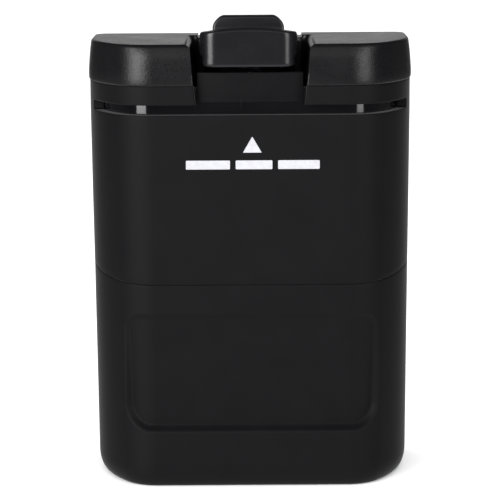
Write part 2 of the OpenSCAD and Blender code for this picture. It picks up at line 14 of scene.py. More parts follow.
import bpy
import numpy as np
from mathutils import Matrix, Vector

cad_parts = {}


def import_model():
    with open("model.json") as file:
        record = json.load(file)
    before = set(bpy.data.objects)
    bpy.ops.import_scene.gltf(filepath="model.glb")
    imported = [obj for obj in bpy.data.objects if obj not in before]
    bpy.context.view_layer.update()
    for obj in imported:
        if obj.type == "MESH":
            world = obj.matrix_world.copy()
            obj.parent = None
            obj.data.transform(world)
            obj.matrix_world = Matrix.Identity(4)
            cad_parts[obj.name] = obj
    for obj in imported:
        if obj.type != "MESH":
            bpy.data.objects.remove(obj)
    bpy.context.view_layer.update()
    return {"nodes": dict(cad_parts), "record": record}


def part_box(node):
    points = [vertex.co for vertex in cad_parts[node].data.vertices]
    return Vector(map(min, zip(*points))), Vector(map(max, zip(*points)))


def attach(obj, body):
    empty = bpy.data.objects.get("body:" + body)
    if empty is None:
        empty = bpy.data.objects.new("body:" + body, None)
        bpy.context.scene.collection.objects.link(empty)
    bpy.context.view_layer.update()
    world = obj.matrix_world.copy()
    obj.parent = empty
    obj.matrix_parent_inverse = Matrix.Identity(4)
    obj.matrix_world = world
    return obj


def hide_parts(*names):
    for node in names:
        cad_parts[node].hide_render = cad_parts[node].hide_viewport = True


log = logging.getLogger("battery_pack")

MM = 0.001
SHARP_EDGE = math.radians(32)
# How far a texture's pale bloom reaches in from the outline of a piece.
SHEEN_SPREAD = 0.25


class Combine(Enum):
    """How a tool solid changes a target solid."""

    CUT = "DIFFERENCE"
    JOIN = "UNION"
    MEET = "INTERSECT"


class Pattern(Enum):
    """The fine surface pattern of a finish."""

    GRAIN = "grain"
    DRAWN = "drawn"
    WEAVE = "weave"
    CELLS = "cells"


# ---- small helpers ------------------------------------------------------


def linear(code: str) -> tuple[float, float, float, float]:
    """Turns an sRGB hex colour into linear RGBA.

    Args:
        code: The colour, such as "#1b1c1f".

    Returns:
        Red, green, blue and alpha for a shader socket.
    """
    parts = np.array([int(code[i : i + 2], 16) for i in (1, 3, 5)]) / 255
    low, high = parts / 12.92, ((parts + 0.055) / 1.055) ** 2.4
    red, green, blue = np.where(parts <= 0.04045, low, high).tolist()
    return red, green, blue, 1.0


def smooth(t: np.ndarray) -> np.ndarray:
    """Smoothstep of t held to 0..1: 3t^2 - 2t^3, level at both ends."""
    t = np.clip(t, 0, 1)
    return t * t * (3 - 2 * t)


def spaced(*stops: tuple[float, float]) -> np.ndarray:
    """Positions along a line, with a spacing of its own for each stretch.

    Args:
        stops: Pairs of (where a stretch ends, its spacing). The first pair's spacing isn't used.

    Returns:
        The positions, rising or falling, each once.
    """
    runs = [np.array([stops[0][0]])]
    for (start, _), (end, step) in zip(stops, stops[1:]):
        count = max(1, round(abs(end - start) / step))
        runs.append(np.linspace(start, end, count + 1)[1:])
    return np.concatenate(runs)


def extent(node: str) -> tuple[np.ndarray, np.ndarray]:
    """Lowest and highest corners of a CAD node, in millimetres."""
    low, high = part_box(node)
    return np.array(low) / MM, np.array(high) / MM


def pivot() -> tuple[float, float, float]:
    """Where the middle of the latch's pin is, and its radius, as (y, z, radius)."""
    low, high = extent("latch_pin")
    return (low[1] + high[1]) / 2, (low[2] + high[2]) / 2, (high[2] - low[2]) / 2


def quads(rows: int, columns: int, loop_rows: bool, loop_columns: bool) -> np.ndarray:
    """Corner indices of the quads of a grid of points, whose outside is on the right hand of rising rows.

    Args:
        rows: Number of rows.
        columns: Number of columns.
        loop_rows: Whether the last row joins the first.
        loop_columns: Whether the last column joins the first.

    Returns:
        An array of four indices for each quad.
    """
    r, c = np.meshgrid(
        np.arange(rows if loop_rows else rows - 1),
        np.arange(columns if loop_columns else columns - 1),
        indexing="ij",
    )
    r1, c1 = (r + 1) % rows, (c + 1) % columns
    row, next_row = r * columns, r1 * columns
    return np.stack([row + c, row + c1, next_row + c1, next_row + c], -1).reshape(-1, 4)


def piece(name: str, points: np.ndarray, faces: list[list[int]]) -> bpy.types.Object:
    """Makes a mesh object at the origin from points in millimetres."""
    mesh = bpy.data.meshes.new(name)
    mesh.from_pydata((points.reshape(-1, 3) * MM).tolist(), [], faces)
    mesh.validate()
    made = bpy.data.objects.new(name, mesh)
    bpy.context.scene.collection.objects.link(made)
    return made


def closed_loft(name: str, rings: np.ndarray) -> bpy.types.Object:
    """A solid of stacked rings, with a pole at the middle of its first and last ring.

    Args:
        name: The object's name.
        rings: Points as (ring, point round the ring, xyz). Rings run anticlockwise seen from above and go up
            the outside.

    Returns:
        The closed mesh object.
    """
    rows, columns = rings.shape[:2]
    faces = quads(rows, columns, False, True).tolist()
    first, last = rows * columns, rows * columns + 1
    top = (rows - 1) * columns
    faces += [[first, (k + 1) % columns, k] for k in range(columns)]
    faces += [[last, top + k, top + (k + 1) % columns] for k in range(columns)]
    poles = np.stack([rings[0].mean(0), rings[-1].mean(0)])
    return piece(name, np.concatenate([rings.reshape(-1, 3), poles]), faces)


def hollow_loft(name: str, rings: np.ndarray) -> bpy.types.Object:
    """A tube-like shell whose rings go up the outside, in over the rim, down the inside and back out."""
    rows, columns = rings.shape[:2]
    return piece(name, rings, quads(rows, columns, True, True).tolist())


def mirrored(right: np.ndarray) -> np.ndarray:
    """Closes rings of which only the right half is given, from the front's middle to the back's.

    Args:
        right: Points as (ring, point, xy) or (ring, point, xyz).

    Returns:
        The whole rings, anticlockwise seen from above.
    """
    left = right[:, -2:0:-1].copy()
    left[..., 0] *= -1
    return np.concatenate([right, left], axis=1)


def combine(target: bpy.types.Object, tool: bpy.types.Object, how: Combine) -> bpy.types.Object:
    """Changes the target by the tool, and removes the tool.

    Args:
        target: The solid that is changed.
        tool: The solid that changes it.
        how: Whether it is cut away, joined on, or all that is kept.

    Returns:
        The target, with its new mesh.
    """
    modifier = target.modifiers.new(how.name, "BOOLEAN")
    modifier.operation = how.value
    modifier.solver = "MANIFOLD"
    modifier.object = tool
    depsgraph = bpy.context.evaluated_depsgraph_get()
    result = bpy.data.meshes.new_from_object(target.evaluated_get(depsgraph))
    target.modifiers.clear()
    target.data = result
    bpy.data.objects.remove(tool)
    return target


def finish_piece(
    made: bpy.types.Object, material: bpy.types.Material, slot: str, body: str, *replaced: str
) -> bpy.types.Object:
    """Shades a piece, dresses it, hangs it on the body that it rides on, and hides the CAD nodes that it stands
    for.

    Args:
        made: The piece.
        material: Its material.
        slot: The record's material slot; not used.
        body: The CAD body that it rides on.
        replaced: The CAD nodes that it stands for.

    Returns:
        The same piece.
    """
    mesh = made.data
    mesh.shade_smooth()
    mesh.set_sharp_from_angle(angle=SHARP_EDGE)
    mesh.materials.clear()
    mesh.materials.append(material)
    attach(made, body)
    if replaced:
        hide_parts(*replaced)
    log.info("%s: %d faces, rides on %s", made.name, len(mesh.polygons), body)
    return made


def rounded_box(name: str, low: np.ndarray, high: np.ndarray, radius: float) -> bpy.types.Object:
    """A box with rounded edges: a ball of that radius carried to the box's eight inner corners.

    Args:
        name: The object's name.
        low: Lowest corner.
        high: Highest corner.
        radius: Radius of the edges.

    Returns:
        The closed mesh object.
    """
    low, high = np.array(low, float), np.array(high, float)
    quarter, short = np.linspace(0, math.pi / 2, 5), 0.02
    turn = np.concatenate([quarter + k * math.pi / 2 for k in range(4)])
    side = np.repeat(np.array([[1, 1], [-1, 1], [-1, -1], [1, -1]]), len(quarter), axis=0)
    # The end rings stop just short of the poles, so that no face has two corners in one place.
    rise = np.concatenate([quarter - math.pi / 2 + short, quarter[:-1], [math.pi / 2 - short]])
    up = np.repeat([-1, 1], len(quarter))
    middle, inner = (low + high) / 2, (high - low) / 2 - radius
    x = middle[0] + side[:, 0] * inner[0] + radius * np.cos(rise)[:, None] * np.cos(turn)
    y = middle[1] + side[:, 1] * inner[1] + radius * np.cos(rise)[:, None] * np.sin(turn)
    z = middle[2] + (up * inner[2] + radius * np.sin(rise))[:, None] + 0 * x
    return closed_loft(name, np.stack([x, y, z], -1))


def bar(
    name: str, start: np.ndarray, axis: int, length: float, radius: float, edge: float
) -> bpy.types.Object:
    """A round bar along X, Y or Z, with a small rounded edge at each end.

    Args:
        name: The object's name.
        start: The middle of its first end.
        axis: 0, 1 or 2 for X, Y or Z.
        length: Its length along the axis.
        radius: Its radius.
        edge: Radius of the rounded edges.

    Returns:
        The closed mesh object.
    """
    quarter = np.linspace(0, math.pi / 2, 5)
    run = np.concatenate([edge * (1 - np.cos(quarter)), length - edge * (1 - np.cos(quarter[::-1]))])
    reach = radius - edge * (1 - np.sin(np.concatenate([quarter, quarter[::-1]])))
    reach, run = reach[:, None], run[:, None]
    turn = np.linspace(0, 2 * math.pi, 64, endpoint=False)
    ring = np.stack([reach * np.cos(turn), reach * np.sin(turn), run + 0 * turn], -1)
    return closed_loft(name, np.roll(ring, axis + 1, axis=2) + np.array(start, float))


# ---- finishes -----------------------------------------------------------


def add(
    tree: bpy.types.NodeTree, kind: str, inputs: dict | None = None, **settings: object
) -> bpy.types.Node:
    """Adds a shader node.

    Args:
        tree: The node tree.
        kind: The node's type after "ShaderNode".
        inputs: Input name or index to a value, or to the output socket that feeds it.
        settings: The node's own properties.

    Returns:
        The node.
    """
    made = tree.nodes.new("ShaderNode" + kind)
    for name, value in settings.items():
        setattr(made, name, value)
    for name, value in (inputs or {}).items():
        if isinstance(value, bpy.types.NodeSocket):
            tree.links.new(value, made.inputs[name])
        else:
            made.inputs[name].default_value = value
    return made


def ramp(
    tree: bpy.types.NodeTree, value: bpy.types.NodeSocket, start: tuple[float, float], end: tuple[float, float]
) -> bpy.types.NodeSocket:
    """Carries a value from one range to another in a straight line, held at both ends.

    Args:
        tree: The node tree.
        value: The socket that carries the value.
        start: The range that it comes from.
        end: What the two ends of that range become.

    Returns:
        The socket that carries the result.
    """
    ends = {"From Min": start[0], "From Max": start[1], "To Min": end[0], "To Max": end[1]}
    return add(tree, "MapRange", {"Value": value, **ends}).outputs["Result"]


@dataclass(frozen=True)
class Finish:
    """A material, by what it is and how its surface was made.

    Attributes:
        name: The material and process.
        colour: Main sRGB colour.
        second: The colour that slow variation drifts to.
        roughness: Mean roughness.
        swing: How far roughness drifts either way.
        grain_mm: Size of one grain, thread, cell or drawn line.
        relief_mm: Height of that pattern.
        drift_mm: Size of the slow patches of colour and roughness.
        pattern: Which fine pattern it has.
        metallic: 1 for a bare metal.
        ior: Index of refraction.
        glints: How much the peaks of the pattern lower roughness, which reads as tiny sparkles.
        specular: Specular level, under 0.5 where a deep texture traps light.
        sheen: Weight of the pale bloom that the peaks of a texture give at grazing angles.
    """

    name: str
    colour: str
    second: str
    roughness: float
    swing: float = 0.04
    grain_mm: float = 0.35
    relief_mm: float = 0.004
    drift_mm: float = 9.0
    pattern: Pattern = Pattern.GRAIN
    metallic: float = 0.0
    ior: float = 1.5
    glints: float = 0.0
    specular: float = 0.5
    sheen: float = 0.0

    def height(self, tree: bpy.types.NodeTree, place: bpy.types.NodeSocket) -> bpy.types.NodeSocket:
        """Builds the fine pattern's height from 0 to 1.

        Args:
            tree: The node tree.
            place: Object coordinates.

        Returns:
            The socket that carries the height.
        """
        scale = 1 / (self.grain_mm * MM)
        if self.pattern is Pattern.DRAWN:
            # Drawing or rolling stretches each mark to 25 times its width.
            place = add(tree, "Mapping", {"Vector": place, "Scale": (1, 1, 0.04)}).outputs["Vector"]
            return add(tree, "TexNoise", {"Vector": place, "Scale": scale, "Detail": 3}).outputs["Fac"]
        if self.pattern is Pattern.CELLS:
            return add(tree, "TexVoronoi", {"Vector": place, "Scale": scale}).outputs["Distance"]
        if self.pattern is Pattern.WEAVE:
            thread = {"Vector": place, "Scale": scale / 6.28, "Distortion": 0.6}
            across, along = (
                add(tree, "TexWave", thread, bands_direction=way).outputs["Fac"] for way in "XY"
            )
            return add(tree, "Math", {0: across, 1: along}, operation="MULTIPLY").outputs[0]
        grain = {"Vector": place, "Scale": scale, "Detail": 4, "Roughness": 0.6}
        return add(tree, "TexNoise", grain).outputs["Fac"]

    def build(self) -> bpy.types.Material:
        """Makes the material: slow drift of colour and roughness, and the fine pattern as relief."""
        material = bpy.data.materials.new(self.name)
        material.use_nodes = True
        tree = material.node_tree
        tree.nodes.clear()
        place = add(tree, "TexCoord").outputs["Object"]
        patches = {"Vector": place, "Scale": 1 / (self.drift_mm * MM), "Detail": 5, "Roughness": 0.55}
        drift = add(tree, "TexNoise", patches).outputs["Fac"]
        height = self.height(tree, place)
        tint = ramp(tree, drift, (0.3, 0.7), (0.0, 1.0))
        colours = {0: tint, 6: linear(self.colour), 7: linear(self.second)}
        colour = add(tree, "Mix", colours, data_type="RGBA").outputs[2]
        rough = ramp(tree, drift, (0.25, 0.75), (self.roughness - self.swing, self.roughness + self.swing))
        if self.glints:
            lower = ramp(tree, height, (0.55, 0.7), (0.0, self.glints))
            rough = add(tree, "Math", {0: rough, 1: lower}, operation="SUBTRACT").outputs[0]
        relief = add(tree, "Bump", {"Height": height, "Distance": self.relief_mm * MM, "Strength": 1.0})
        shader = add(
            tree,
            "BsdfPrincipled",
            {
                "Base Color": colour,
                "Roughness": rough,
                "Metallic": self.metallic,
                "IOR": self.ior,
                "Specular IOR Level": self.specular,
                "Sheen Weight": self.sheen,
                "Sheen Roughness": SHEEN_SPREAD,
                "Normal": relief.outputs["Normal"],
            },
        )
        add(tree, "OutputMaterial", {"Surface": shader.outputs["BSDF"]})
        return material


# One finish for each material slot of the record. Grain sizes are the real ones where they can show, and
# otherwise as coarse as they need to be: a spark-eroded grain of about 0.1 mm is drawn at 0.3 mm. The blacks
# are set for the stage's bright light, and their specular level is low where a texture traps light.
FINISHES = {
    # Case halves: ABS/PC moulded in a spark-eroded tool, so a dense black with a dry, even sheen.
    "case_plastic": Finish(
        "abs_spark_eroded_black",
        "#050507",
        "#070709",
        0.62,
        0.03,
        grain_mm=0.32,
        relief_mm=0.006,
        specular=0.15,
        sheen=0.14,
    ),
    # Cap: the same ABS with a coarser, shinier grain that sparkles where the light grazes it.
    "cap_plastic": Finish(
        "abs_coarse_grain_black",
        "#09090b",
        "#0c0c0e",
        0.32,
        0.03,
        grain_mm=0.5,
        relief_mm=0.07,
        glints=0.1,
        specular=0.34,
    ),
    # Neck: ABS from a polished tool, which mirrors a light as a crisp patch.
    "gloss_plastic": Finish(
        "abs_polished_black", "#08080a", "#0a0a0c", 0.1, 0.02, grain_mm=2.5, relief_mm=0.0008, drift_mm=14
    ),
    # Latch: acetal from a fine-blasted tool, silky with soft vertical highlights.
    "latch_plastic": Finish(
        "acetal_fine_blasted_black", "#0c0c0f", "#0f0f12", 0.27, 0.02, grain_mm=0.3, relief_mm=0.0012, ior=1.48
    ),
    "steel": Finish(
        "steel_zinc_plated", "#b9bbbf", "#a4a8b0", 0.28, 0.06, grain_mm=0.25, relief_mm=0.002, metallic=1.0
    ),
    "spring_steel": Finish(
        "music_wire_drawn",
        "#9a9ca1",
        "#84868c",
        0.3,
        0.05,
        grain_mm=0.1,
        relief_mm=0.001,
        pattern=Pattern.DRAWN,
        metallic=1.0,
    ),
    # Socket: glass-filled nylon, whose fibres leave a faint streaked haze.
    "socket_plastic": Finish(
        "nylon_glass_filled_black", "#141517", "#1d1e21", 0.42, 0.07, grain_mm=0.5, relief_mm=0.006, drift_mm=3
    ),
    "holder_plastic": Finish("abs_natural_moulded", "#c9c8c0", "#bdbbb0", 0.45, 0.04, relief_mm=0.003),
    "nickel": Finish(
        "nickel_strip_rolled",
        "#c4c5c8",
        "#b2b2b4",
        0.25,
        0.05,
        grain_mm=0.15,
        relief_mm=0.0012,
        pattern=Pattern.DRAWN,
        metallic=1.0,
    ),
    # Contacts: brass with a gold flash, lightly rubbed where a blade slides.
    "contact_brass": Finish(
        "brass_gold_flashed",
        "#d9b45c",
        "#c79a43",
        0.22,
        0.08,
        grain_mm=0.12,
        relief_mm=0.001,
        drift_mm=1.6,
        pattern=Pattern.DRAWN,
        metallic=1.0,
    ),
    "cell_sleeve": Finish(
        "pvc_heat_shrunk_sleeve", "#2f6f8f", "#2a6483", 0.3, 0.04, grain_mm=1.4, relief_mm=0.004
    ),
    "insulating_paper": Finish("vulcanised_fibre_pressed", "#2f7d4f", "#2a6f45", 0.62, 0.05, grain_mm=0.5),
    "foam": Finish(
        "polyurethane_foam_skived", "#3a3b3d", "#2f3032", 0.9, 0.04, relief_mm=0.06, pattern=Pattern.CELLS
    ),
    "circuit_board": Finish(
        "solder_resist_on_glass_epoxy",
        "#1f6b3a",
        "#1a5c31",
        0.24,
        0.04,
        grain_mm=0.5,
        relief_mm=0.004,
        pattern=Pattern.WEAVE,
    ),
    "component_black": Finish("epoxy_transfer_moulded", "#222224", "#1c1c1e", 0.5, 0.04, grain_mm=0.2),
    "component_grey": Finish("enamel_over_ceramic", "#5b5148", "#4f463e", 0.4, 0.05),
    "connector_nylon": Finish("nylon_natural_moulded", "#e6e3d6", "#d8d4c4", 0.4, 0.04),
    "fuse_ceramic": Finish("ceramic_fired", "#d8d5c8", "#cbc7b8", 0.55, 0.05, grain_mm=0.25),
    "lead_red": Finish("silicone_extruded_red", "#b3261e", "#a2211a", 0.55, 0.04),
    "lead_black": Finish("silicone_extruded_black", "#1a1a1a", "#202020", 0.55, 0.04),
    "lead_yellow": Finish("pvc_extruded_yellow", "#d9b13b", "#cfa633", 0.4, 0.04),
    "lead_blue": Finish("pvc_extruded_blue", "#3b6fd9", "#3565c8", 0.4, 0.04),
    # Label: blank polyester film with a matt overlaminate, very slightly rippled by its adhesive.
    "label_film": Finish(
        "polyester_label_matt", "#c4c6c8", "#bcbec1", 0.38, 0.04, grain_mm=3.0, relief_mm=0.012, drift_mm=6
    ),
}
# Latch's cradle: the neck's ABS from a blasted part of the tool, a plain satin beside the polished ring.
NECK_SATIN = Finish(
    "abs_fine_blasted_black",
    "#070709",
    "#09090b",
    0.5,
    0.03,
    grain_mm=0.3,
    relief_mm=0.002,
    drift_mm=6,
    specular=0.12,
)
# Printed mark: white pad-printing ink, a touch uneven where the pad lifted.
PRINT_INK = Finish(
    "pad_print_ink_white", "#a2a2a6", "#98989c", 0.5, 0.05, grain_mm=0.3, relief_mm=0.003, drift_mm=1.2
)


# ---- outline ------------------------------------------------------------


@dataclass(frozen=True)
class Plan:
    """The pack's outline seen from above: flat front, round corners, bowed sides, flat back.

    Attributes:
        half_w: Half of the width.
        half_d: Half of the depth.
        front_r: Radius of the front corners.
        side_r: Radius of the bowed sides, which run into the corners without a kink.
        side_run: Distance from the front at which the sides run straight.
        back_r: Radius of the rear corners.
    """

    half_w: float
    half_d: float
    front_r: float = 12.0
    side_r: float = 37.0
    side_run: float = 27.0
    back_r: float = 4.0

    def outline(self, inset: np.ndarray, rear: np.ndarray) -> np.ndarray:
        """Rings of points, anticlockwise from the middle of the front.

        Each arc keeps its centre while its radius shrinks by the inset. The rear corners keep at least 0.4 mm
        of radius, and the back moves in by an inset of its own.

        Args:
            inset: Inward move of the front and sides at each level.
            rear: Inward move of the back at each level.

        Returns:
            Points as (level, point, xy).
        """
        d, e = np.atleast_1d(inset)[:, None], np.atleast_1d(rear)[:, None]
        side_x, side_y = self.half_w - self.side_r, self.side_run - self.half_d
        across = math.sqrt((self.side_r - self.front_r) ** 2 - (self.side_run - self.front_r) ** 2)
        front_x, front_y = side_x + across, self.front_r - self.half_d
        turn = math.atan2(front_y - side_y, across)
        flat = spaced((0, 0), (front_x - 4, 1.0), (front_x, 0.4))
        corner = spaced((-math.pi / 2, 0), (turn, 0.026))[1:]
        bow = spaced((turn, 0), (0, 0.022))[1:]
        run = np.linspace(0, 1, 9)[1:]
        end = spaced((0, 0), (math.pi / 2, 0.13))[1:]
        back = np.linspace(1, 0, 25)[1:]
        r = np.maximum(self.back_r - d, 0.4)
        end_x, end_y = self.half_w - d - r, self.half_d - e - r
        x = np.hstack(
            [
                flat + 0 * d,
                front_x + (self.front_r - d) * np.cos(corner),
                side_x + (self.side_r - d) * np.cos(bow),
                self.half_w - d + 0 * run,
                end_x + r * np.cos(end),
                end_x * back,
            ]
        )
        y = np.hstack(
            [
                d - self.half_d + 0 * flat,
                front_y + (self.front_r - d) * np.sin(corner),
                side_y + (self.side_r - d) * np.sin(bow),
                side_y + (end_y - side_y) * run,
                end_y + r * np.sin(end),
                self.half_d - e + 0 * back,
            ]
        )
        return mirrored(np.stack([x, y], -1))

    def normals(self) -> np.ndarray:
        """Outward directions at a ring's points: the unit vector from a ring 1 mm in to the ring itself."""
        rings = self.outline(np.array([0.0, 1.0]), np.array([0.0, 1.0]))
        out = rings[0] - rings[1]
        return out / np.linalg.norm(out, axis=-1, keepdims=True)


@dataclass
class Levels:
    """A profile up and round a wall, one row for each ring of a loft.

    Attributes:
        rows: Lists of height, inset, rear inset, share of the parting slope and scale.
    """

    rows: list[np.ndarray] = field(default_factory=list)

    def add(
        self,
        z: np.ndarray,
        inset: np.ndarray,
        rear: np.ndarray | float | None = None,
        lift: np.ndarray | float = 0.0,
        scale: np.ndarray | float = 1.0,
    ) -> "Levels":
        """Adds rings. Any of the values may be one number for all of them.

        Args:
            z: Heights.
            inset: Inward moves of the front and sides.
            rear: Inward moves of the back, the same as the inset when left out.
            lift: Shares of the parting slope, 0 for a level ring.
            scale: Scales about the axis, which close a flat floor or top.

        Returns:
            The same profile.
        """
        rear = inset if rear is None else rear
        columns = map(np.atleast_1d, (z, inset, rear, lift, scale))
        self.rows.append(np.stack(np.broadcast_arrays(*columns), -1))
        return self

    def rings(self, plan: Plan, slope: float = 0.0) -> np.ndarray:
        """Rings as (ring, point, xyz): each row's outline, raised by its share x slope x y from the front."""
        rows = np.concatenate(self.rows)
        xy = plan.outline(rows[:, 1], rows[:, 2]) * rows[:, 4, None, None]
        z = rows[:, 0, None] + rows[:, 3, None] * slope * (xy[..., 1] + plan.half_d)
        return np.concatenate([xy, z[..., None]], -1)


def fillet(count: int = 6) -> tuple[np.ndarray, np.ndarray]:
    """Sine and 1 - cosine over a quarter turn, which carry a profile round a unit fillet."""
    a = np.linspace(0, math.pi / 2, count)
    return np.sin(a), 1 - np.cos(a)


# Scales of the rings that close a flat floor or roof.
INWARDS = np.array([0.992, 0.8, 0.5])


def slab(name: str, plan: Plan, low: float, high: float, inset: float) -> bpy.types.Object:
    """A solid block of the pack's outline with square edges.

    Args:
        name: The object's name.
        plan: The pack's outline.
        low: Its lowest height.
        high: Its highest height.
        inset: How far its sides are in from the outline.

    Returns:
        The closed mesh object.
    """
    rows = Levels().add(low, inset, scale=INWARDS[::-1]).add([low, high], inset)
    return closed_loft(name, rows.add(high, inset, scale=INWARDS).rings(plan))


# ---- case ---------------------------------------------------------------


@dataclass
class GripRecess:
    """The shallow grip recess that follows the rounded front.

    Attributes:
        half_w: Half of its width.
        low: Height of its lower edge.
        high: Height of its upper edge.
        low_r: Corner radius at the bottom.
        high_r: Corner radius at the top.
        low_depth: Depth at the bottom.
        high_depth: Depth at the top.
        side_ramp: Width of the slope at the sides.
        low_ramp: Width of the slope at the bottom.
        high_ramp: Width of the slope at the top.
    """

    half_w: float = 32.0
    low: float = 14.3
    high: float = 44.6
    low_r: float = 7.0
    high_r: float = 4.0
    low_depth: float = 1.8
    high_depth: float = 0.6
    side_ramp: float = 0.9
    low_ramp: float = 1.6
    high_ramp: float = 1.1

    def depth(self, rings: np.ndarray, spread: float = 0.0) -> np.ndarray:
        """Depth at each point of the wall.

        It is a depth that falls evenly from bottom to top, times a ramp over the distance inside a rounded
        rectangle. The ramp is half straight and half smoothstep, so its two edges stay crisp.

        Args:
            rings: Points as (ring, point, xyz).
            spread: How far outside the edge the ramp begins.

        Returns:
            The inward move at each point, nought on the back.
        """
        x, y, z = np.moveaxis(rings, -1, 0)
        lower = z < (self.low + self.high) / 2
        r = np.where(lower, self.low_r, self.high_r) + spread
        q_x = np.abs(x) - (self.half_w + spread - r)
        q_z = np.where(lower, self.low - spread + r - z, z - self.high - spread + r)
        outside = np.hypot(np.maximum(q_x, 0), np.maximum(q_z, 0))
        inside = r - outside - np.minimum(np.maximum(q_x, q_z), 0)
        upright = np.clip(np.arctan2(np.maximum(q_z, 0), np.maximum(q_x, 1e-6)) / (math.pi / 2), 0, 1)
        upright = np.where((q_x < 0) & (q_z < q_x), 0, upright)
        ramp = self.side_ramp + (np.where(lower, self.low_ramp, self.high_ramp) - self.side_ramp) * upright
        t = np.clip(inside / ramp, 0, 1)
        share = np.clip((z - self.low) / (self.high - self.low), 0, 1)
        full = self.low_depth + (self.high_depth - self.low_depth) * share
        return np.where(y < 0, full * (t + smooth(t)) / 2, 0)


@dataclass
class Case:
    """The two case halves, with the slot, the notch, the grip recess, the rails and the socket's hole.

    Attributes:
        wall: Wall thickness.
        parting: Height of the parting line at the front.
        rise: Its rise from front to back.
        slot: Lowest and highest height of the slot across the front.
        slot_run: Distance of the slot's ends from the front.
        step_in: Step inwards from the upper half to the lower one.
        draft: Inward draft for each millimetre below the slot.
        base_run: Distance inwards of the rounded bottom edge.
        base_rise: Height of the rounded bottom edge.
        rim: Small radius at the edges of the halves.
        rail_x: Distance of the rails from the middle.
        boss_r: Radius of the screw bosses.
        notch_half: Half width of the latch's notch at its foot.
        grip: The grip recess.
    """

    wall: float = 2.4
    parting: float = 52.0
    rise: float = 4.6
    slot: tuple[float, float] = (94.6, 97.1)
    slot_run: float = 17.0
    step_in: float = 0.03
    draft: float = 0.01
    base_run: float = 2.3
    base_rise: float = 5.0
    rim: float = 0.22
    rail_x: float = 27.0
    boss_r: float = 2.7
    notch_half: float = 13.4
    grip: GripRecess = field(default_factory=GripRecess)

    def __post_init__(self) -> None:
        """Reads the outline, the height and the screws' places from the frame."""
        low, high = extent("upper_case")
        self.top = high[2]
        self.plan = Plan(half_w=high[0], half_d=-low[1])
        self.rail_proud = high[1] - self.plan.half_d
        self.slope = self.rise / (2 * self.plan.half_d)
        screw_low, screw_high = extent("case_screws")
        head_r = (screw_high[1] - screw_low[1]) / 2
        self.screw_x, self.screw_y = screw_high[0] - head_r, screw_high[1] - head_r
        self.seat = screw_low[2] + 1.8
        self.counterbore_r = head_r + 0.15

    def skin(self, z: np.ndarray, lower: bool) -> np.ndarray:
        """Inset of the outer skin at a height: draft x distance below the slot, plus the lower half's step."""
        return self.draft * np.maximum(self.slot[0] - z, 0) + (self.step_in if lower else 0)

    def seam(self, y: float) -> float:
        """Height of the parting line at a depth y."""
        return self.parting + self.slope * (y + self.plan.half_d)

    def rail(self, name: str, side: int, low: float, high: float) -> bpy.types.Object:
        """A guide rail on the back, 3 mm wide, from one height to another."""
        x, back = side * self.rail_x, self.plan.half_d
        return rounded_box(name, (x - 1.5, back - 1, low), (x + 1.5, back + self.rail_proud, high), 0.3)

    def lower_half(self) -> bpy.types.Object:
        """The lower half as one closed wall.

        Its profile starts at the middle of the base, goes round the bottom fillet and up the drafted skin, over
        the rim and the tongue, down the inner wall and in to the middle of the floor. The grip recess moves
        both skins inwards along the outline's normals.
        """
        up, out = fillet(10)
        run, rise = self.base_run, self.base_rise
        base_in = self.skin(rise, True)
        foot_in = run * (1 - up)
        # Rings stand closest where the recess's edges are, and lean to the parting line's slope above it.
        edge = self.parting - self.rim
        rise_z = spaced((rise, 0), (13.5, 1.2), (24, 0.33), (38, 1.0), (46, 0.33), (edge, 0.8))
        lean = smooth((rise_z - 46.2) / (edge - 46.2))
        s, c = fillet(5)
        edge_z = edge + self.rim * s
        seam_in = self.skin(self.parting, True)
        tongue = self.wall - 1
        outer = Levels()
        outer.add(0, run + base_in, self.step_in + run / 4, scale=INWARDS[::-1])
        outer.add(rise * out, base_in + foot_in, self.step_in + foot_in / 4)
        outer.add(rise_z[1:], self.skin(rise_z[1:], True), self.step_in, lean[1:])
        outer.add(edge_z[1:], seam_in + self.rim * c[1:], self.step_in + self.rim * c[1:], 1)
        split = sum(len(rows) for rows in outer.rows)
        inner_rise = rise - self.wall + 0.6
        down = spaced((46, 0), (38, 1.0), (24, 2.0), (12, 0.8), (self.wall + inner_rise, 1.5))
        inner = Levels(list(outer.rows))
        inner.add([self.parting, self.parting + 2.2], tongue, lift=1)
        inner.add(self.parting + 2.4, [tongue + 0.2, self.wall - 0.1], lift=1)
        inner.add([self.parting + 2.2, self.parting - 2], self.wall, lift=1)
        inner.add(down, self.wall)
        foot_in = run * out[1:]
        inner.add(self.wall + inner_rise * (1 - up[1:]), self.wall + foot_in, self.wall + foot_in / 4)
        inner.add(self.wall, self.wall + run, self.wall + run / 4, scale=INWARDS)
        rings = inner.rings(self.plan, self.slope)
        # The inner skin bulges round the recess too, from further out and by 1.2 mm at most.
        move = self.grip.depth(rings)
        move[split:] = np.minimum(self.grip.depth(rings[split:], 1.6), 1.2)
        rings[..., :2] -= move[..., None] * self.plan.normals()
        made = closed_loft("case_lower_shell", rings)
        hole_low, hole_high = extent("terminal_block")
        back = self.plan.half_d
        for side in (-1, 1):
            start = (side * self.screw_x, self.screw_y, 1.5)
            boss = bar("boss", start, 2, self.seam(self.screw_y) - 1.6, self.boss_r, 0.1)
            combine(made, boss, Combine.JOIN)
            combine(made, self.rail("rail", side, 20, self.seam(back) - 0.05), Combine.JOIN)
            start = (side * self.screw_x, self.screw_y, -1)
            combine(made, bar("bore", start, 2, self.seat + 1, self.counterbore_r, 0.02), Combine.CUT)
            combine(made, bar("bore", start, 2, self.seam(self.screw_y) + 4, 1.5, 0.02), Combine.CUT)
        gap = 0.2
        low = (hole_low[0] - gap, back - 5, hole_low[2] - 0.03)
        high = (hole_high[0] + gap, back + 2, hole_high[2] + gap)
        return combine(made, rounded_box("hole", low, high, 0.02), Combine.CUT)

